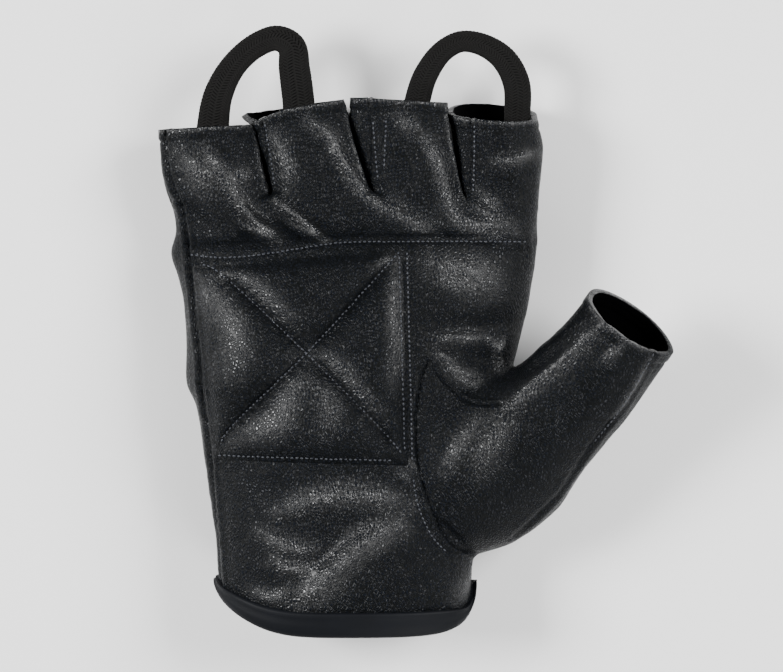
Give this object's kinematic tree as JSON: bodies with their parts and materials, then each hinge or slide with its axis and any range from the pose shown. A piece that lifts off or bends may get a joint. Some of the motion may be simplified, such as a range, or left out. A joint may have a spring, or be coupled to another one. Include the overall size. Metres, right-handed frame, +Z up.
{
  "type": "fingerless riding glove",
  "caption": "Right-hand fingerless leather riding glove lying palm up, with a quilted palm patch, bound cuff and braided pull loops at the finger mouths.",
  "frame": {"origin": "middle of the glove's box, on the surface that its back lies on", "axes": "+Y from the cuff to the fingers, +X towards the thumb, +Z up, out of the palm"},
  "size_m": [0.1439, 0.1705, 0.0432],
  "materials": {
    "leather": "pebbled, semi-gloss",
    "binding": "smooth, matte",
    "braid": "matte braided cord"
  },
  "bodies": {
    "root": {"back_panel": "leather", "palm_panel": "leather", "palm_pad": "leather", "finger_panel": "leather", "thumb_palm": "leather", "thumb_back": "leather", "fourchette_little_ring": "leather", "fourchette_ring_middle": "leather", "fourchette_middle_index": "leather", "cuff_binding": "binding", "pull_loop_outer": "braid", "pull_loop_inner": "braid"}
  },
  "joints": []
}
